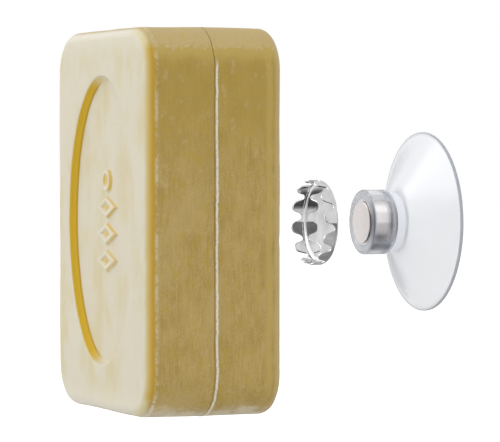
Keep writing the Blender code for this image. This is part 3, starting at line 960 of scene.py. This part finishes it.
def clear_finish():
    finish, bench = new_finish("clear_soft_plastic", Transmission_Weight=1.0, IOR=CLEAR_BENDING)
    at = bench.position()
    wave = bench.noise(at, 90.0, 2.0, 0.4)
    speck = bench.noise(at, 700.0, 2.0, 0.5)
    tint = bench.mix(CLEAR_COOL, CLEAR_WHITE, wave)
    bench.wire(Base_Color=tint, Roughness=0.1 + 0.04 * bench.ramp(speck, 0.5, 0.8),
               Normal=bench.relief(wave, 0.2, 0.0003))
    shade = bench.mix(HAZE_DARK, HAZE_PALE, bench.painted("haze_painted_shade") * (0.97 + 0.03 * wave))
    # The haze takes the colour of its painted shade, and its emission is a painted glow.
    haze = bench.add("ShaderNodeBsdfPrincipled", inputs={
        "Base Color": shade, "Roughness": 0.35 + 0.1 * speck,
        "Emission Color": shade, "Emission Strength": HAZE_GLOW})
    both = bench.add("ShaderNodeMixShader", inputs={
        0: bench.painted("haze_amount"), 1: Value(bench, bench.shader.outputs[0]), 2: haze})
    bench.tree.links.new(both.socket, bench.tree.nodes["Material Output"].inputs["Surface"])
    return finish


dress(cup, clear_finish())

# %% [markdown]
# ## The magnet and its glue
#
# The magnet is a stock disc with a bright nickel plating. Its face has a satin shine, its side keeps the
# fine rings of the grinding wheel, and a mask paints shade on the round of its front edge, darkest where it
# faces +X. The glue behind it hardly shows, so its imported solid is kept and gets a finish.

# %% Turn the magnet
MAGNET_RADIUS = (magnet_high[0] - magnet_low[0]) / 2
MAGNET_ROUND = 0.3


def magnet_profile():
    edge = MAGNET_RADIUS - MAGNET_ROUND
    back, front = magnet_low[1], magnet_high[1]
    rows = [(r, back) for r in (0.5, 2.5, 4.5)]
    rows += arc((edge, back + MAGNET_ROUND), MAGNET_ROUND, -90, 0, 6)
    rows += between((MAGNET_RADIUS, back + MAGNET_ROUND), (MAGNET_RADIUS, front - MAGNET_ROUND), 8)
    rows += arc((edge, front - MAGNET_ROUND), MAGNET_ROUND, 0, 90, 6)
    return rows + [(r, front) for r in (5.2, 4.5, 2.5, 0.5)]


def shaded_edge(rows):
    """A mask of painted shade on the front edge's round, strong on the side towards +X."""
    mask = []
    for radius, height in rows:
        turned = smooth_step(radius - MAGNET_RADIUS + MAGNET_ROUND, 0.05, 0.2)
        amount = turned * (height > magnet_high[1] - MAGNET_ROUND)
        mask.append([amount * min(1.0, 2 * near ** 0.2) for near in nearness])
    return mask


magnet_rows = magnet_profile()
magnet_loops = [circle(*row, TURN_STEPS) for row in magnet_rows]
disc = skin("disc_magnet", magnet_loops, {"shaded_edge": shaded_edge(magnet_rows)})
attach(disc, "magnet")
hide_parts("magnet")


# %% The nickel plating and the glue
NICKEL = srgb(240, 234, 231)
NICKEL_BRIGHT = srgb(250, 244, 241)
NICKEL_SHADE = srgb(58, 48, 34)
GLUE = srgb(235, 228, 205)
GLUE_PALE = srgb(246, 242, 228)


def nickel_finish():
    finish, bench = new_finish("nickel_plate", Metallic=1.0)
    at = bench.position()
    rings = bench.noise(at, 1500.0, 3.0, 0.6, (0.15, 6.0, 0.15))
    cloud = bench.noise(at, 260.0, 3.0, 0.5)
    # The round of the front edge is painted dark, a painted shade.
    colour = bench.coats(NICKEL, (NICKEL_BRIGHT, cloud), (NICKEL_SHADE, 0.9 * bench.painted("shaded_edge")))
    normal = bench.relief(rings, 0.08, 0.00005)
    bench.wire(Base_Color=colour, Roughness=0.2 + 0.12 * rings, Normal=normal)
    return finish


def glue_finish():
    finish, bench = new_finish("clear_glue", Transmission_Weight=0.8, IOR=1.45)
    bubbles = bench.noise(bench.position(), 1200.0, 3.0, 0.6)
    colour = bench.mix(GLUE, GLUE_PALE, bubbles)
    bench.wire(Base_Color=colour, Roughness=0.2 + 0.3 * bubbles)
    return finish


dress(disc, nickel_finish())
dress(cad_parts["glue_film"], glue_finish())

# %% [markdown]
# ## The toothed cap
#
# The cap is pressed from one disc of thin steel: a flat floor, a small bend, and a wall cut into rounded
# teeth. Its loops run from the middle of the outside over the bend to the teeth's edge, and back down the
# inside. The cut edge gets a tiny round, because a bright sheet edge is what draws the teeth's outline. A
# mask marks the parts of that edge that face down, and they are painted dark, a painted reflection of the
# dark ground below.

# %% Press the cap
CAP_BEND_RADIUS = 1.2
CAP_COLUMNS = 40 * TOOTH_COUNT
CAP_EDGE_ROUND = 0.12
CAP_WALL_STEPS = 8


def cap_loops():
    """The loops of the pressed sheet, with a mask of the parts of its cut edge that face down, which are
    painted dark as a reflection.
    """
    bearings = [TOOTH_TURN + 2 * math.pi * n / CAP_COLUMNS for n in range(CAP_COLUMNS)]
    edges = [tooth_edge(b) for b in bearings]
    # How steeply the edge climbs at each bearing, and how far it faces down for that.
    climbs = [(edges[(n + 1) % CAP_COLUMNS] - edges[n - 1]) * CAP_COLUMNS / (4 * math.pi * CAP_RADIUS)
              for n in range(CAP_COLUMNS)]
    downward = [smooth_step(climb * math.cos(b), 0.2, 0.9) for climb, b in zip(climbs, bearings)]

    def ring(radius, heights):
        """One loop, with a height above the cap's back for each bearing."""
        return [(radius * math.cos(b), CAP_BACK + height, radius * math.sin(b))
                for b, height in zip(bearings, heights)]

    def level(radius, height):
        return ring(radius, [height] * CAP_COLUMNS)

    def edge(radius, below):
        return ring(radius, [e - below for e in edges])

    def wall(radius, step):
        reach = [e - CAP_EDGE_ROUND - CAP_BEND_RADIUS for e in edges]
        return ring(radius, [CAP_BEND_RADIUS + r * step / CAP_WALL_STEPS for r in reach])

    inner = CAP_RADIUS - CAP_SHEET
    bend = CAP_RADIUS - CAP_BEND_RADIUS, CAP_BEND_RADIUS
    round_in = CAP_EDGE_ROUND * 0.3
    outside = [level(r, 0.0) for r in (0.5, 3.0, 6.0, 9.0)]
    outside += [level(*at) for at in arc(bend, CAP_BEND_RADIUS, -90, 0, 8)]
    outside += [wall(CAP_RADIUS, step) for step in range(1, CAP_WALL_STEPS + 1)]
    cut = [edge(CAP_RADIUS - round_in, round_in), edge(CAP_RADIUS - CAP_EDGE_ROUND, 0.0)]
    cut += [edge(inner + CAP_EDGE_ROUND, 0.0), edge(inner + round_in, round_in)]
    inside = [wall(inner, step) for step in range(CAP_WALL_STEPS, 0, -1)]
    inside += [level(*at) for at in arc(bend, CAP_BEND_RADIUS - CAP_SHEET, 0, -90, 6)]
    inside += [level(r, CAP_SHEET) for r in (9.0, 6.0, 3.0, 0.5)]
    bare = [0.0] * CAP_COLUMNS
    underside_reflection = [bare] * len(outside) + [downward] * len(cut) + [bare] * len(inside)
    return outside + cut + inside, {"underside_reflection": underside_reflection}


cap = skin("steel_cap", *cap_loops())
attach(cap, "cap")
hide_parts("toothed_cap")


# %% The polished steel's finish
STEEL = srgb(214, 213, 214)
STEEL_BRIGHT = srgb(244, 243, 244)
STEEL_REFLECTION_DARK = srgb(52, 51, 54)


def steel_finish():
    finish, bench = new_finish("polished_steel", Metallic=1.0)
    at = bench.position()
    scuffs = bench.noise(at, 1800.0, 3.0, 0.65, (1.0, 1.0, 0.25))
    cloud = bench.noise(at, 160.0, 3.0, 0.5)
    colour = bench.mix(STEEL, STEEL_BRIGHT, bench.ramp(cloud, 0.3, 0.7))
    # The downward parts of the cut edge are painted dark, a painted reflection of the dark ground below.
    colour = bench.mix(colour, STEEL_REFLECTION_DARK, 0.95 * bench.painted("underside_reflection"))
    bench.wire(Base_Color=colour, Roughness=0.05 + 0.09 * bench.ramp(scuffs, 0.45, 0.75),
               Normal=bench.relief(cloud, 0.15, 0.0002))
    return finish


dress(cap, steel_finish())

# %% [markdown]
# ## The studio
#
# The camera sees plain white all round, from a floor well below the object and from the world behind it.
# Polished metal and clear plastic show only what is around them, and in plain white they would have no
# form, so a photographer sets black and white cards just out of the picture. Here each kind of ray sees
# its own room instead. Mirrored rays see a dark end, a brighter top, a soft window and dark places on the
# floor. Rays through clear plastic see a bright strip and a dark spot under the head. All others see an
# even room, so matt surfaces are lit as if none of that were there.

# %% Tell the kinds of light ray apart
def ray_kinds(bench):
    """Which ray meets a surface: from the camera, through clear plastic, or mirrored."""
    seen = bench.add("ShaderNodeLightPath", output="Is Camera Ray")
    through = bench.add("ShaderNodeLightPath", output="Is Transmission Ray")
    glossy = bench.add("ShaderNodeLightPath", output="Is Glossy Ray")
    return seen, through, bench.maths("MAXIMUM", glossy - through, 0.0)


# %% Lay the floor
FLOOR_BELOW = 76.0
FLOOR_SIZE = 8.0
FLOOR_GLOW = 0.62
FLOOR_PALE = (0.82, 0.82, 0.82, 1.0)
BLACK = (0.0, 0.0, 0.0, 1.0)
WHITE = (1.0, 1.0, 1.0, 1.0)
SHADE_CENTRE = (0.025, -0.085, 0.0)
UNDER_HEAD = (-0.02, 0.02, 0.0)


def floor_finish():
    finish, bench = new_finish("pale_floor", Roughness=0.9, Emission_Strength=1.0)
    seen, through, mirrored = ray_kinds(bench)
    at = bench.position()
    across, along, _ = bench.split(at)
    clear = 0.66 + 0.34 * bench.ramp(0 - across, 0.0, 0.06)
    clear = clear - 0.28 * bench.spot(at, UNDER_HEAD, 0.028, 0.012)
    behind = bench.ramp(along, -0.04, 0.0)
    shown = 0.04 + 0.86 * (1 - bench.spot(at, SHADE_CENTRE, 0.09, 0.035))
    shown = shown * (1 - 0.5 * behind) * (1 - 0.8 * bench.ramp(along, 0.05, 0.18))
    shown = shown * (1 - 0.25 * bench.ramp(0 - across, 0.05, 0.3))
    shown = shown * (1 - 0.45 * behind * bench.band(across, -0.09, 0.045, 0.02))
    shown = shown * (0.3 + 1.4 * bench.noise(at, 55.0, 3.0, 0.6))
    shown = shown + 0.06 * bench.noise(at, 120.0, 2.0, 0.5)
    glow = FLOOR_GLOW * seen + through * clear + mirrored * shown
    bench.wire(Base_Color=bench.mix(FLOOR_PALE, BLACK, through + mirrored),
               Emission_Color=bench.mix(BLACK, WHITE, glow))
    return finish


bpy.ops.mesh.primitive_plane_add(size=FLOOR_SIZE, location=(0, 0, -FLOOR_BELOW * MM))
floor = bpy.context.object
floor.name = "floor"
dress(floor, floor_finish())

# %% Fill the room with light
WORLD_LIGHT = 0.55
DARK_END = (0.89, -0.38, 0.24)
BACKDROP = (-0.92, 0.38, -0.02)
BRIGHT_STRIP = (0.33, 0.42, 0.84)
SOFT_WINDOW = (-0.56, -0.74, 0.385)


def world_light():
    world = bpy.data.worlds.new("studio")
    bpy.context.scene.world = world
    world.use_nodes = True
    bench = Bench(world.node_tree)
    direction = bench.add("ShaderNodeTexCoord", output="Generated")
    across, along, rise = bench.split(direction)
    uneven = bench.noise(direction, 3.0, 2.0, 0.5) - 0.5
    seen, through, mirrored = ray_kinds(bench)
    plain = 1 - seen - through - mirrored
    clear = 0.7 + 0.3 * bench.towards(direction, BACKDROP, 0.84, 0.95)
    clear = clear + 0.5 * bench.towards(direction, BRIGHT_STRIP, 0.93, 0.985)
    shown = 0.74 + 0.26 * bench.ramp(rise, 0.68, 0.92) * bench.ramp(0 - along, 0.0, 0.3)
    shown = shown - 0.52 * bench.towards(direction, DARK_END, 0.76, 0.97) + 0.3 * uneven
    shown = shown + 2.8 * bench.towards(direction, SOFT_WINDOW, 0.92, 0.985)
    strength = seen + through * clear + mirrored * shown + plain * WORLD_LIGHT
    background = world.node_tree.nodes["Background"]
    background.inputs["Color"].default_value = WHITE
    world.node_tree.links.new(strength.socket, background.inputs["Strength"])


def lamp(name, turn, rise, distance, size, power, mirrored=True):
    """A square soft lamp. Where mirrored is off, polished things don't show it."""
    made = set_up(name, bpy.data.lights.new(name, "AREA"), turn, rise, distance)
    made.data.size = size
    made.data.energy = power
    made.visible_glossy = mirrored


world_light()
lamp("front", turn=-20, rise=30, distance=1100, size=1.3, power=3.4)
lamp("left", turn=-75, rise=22, distance=1000, size=0.6, power=1.2, mirrored=False)
lamp("right", turn=100, rise=25, distance=1200, size=1.6, power=3.4, mirrored=False)
lamp("top", turn=60, rise=80, distance=1000, size=1.5, power=2.6, mirrored=False)
bpy.context.scene.view_settings.view_transform = "Standard"
print("lamps and world are on")
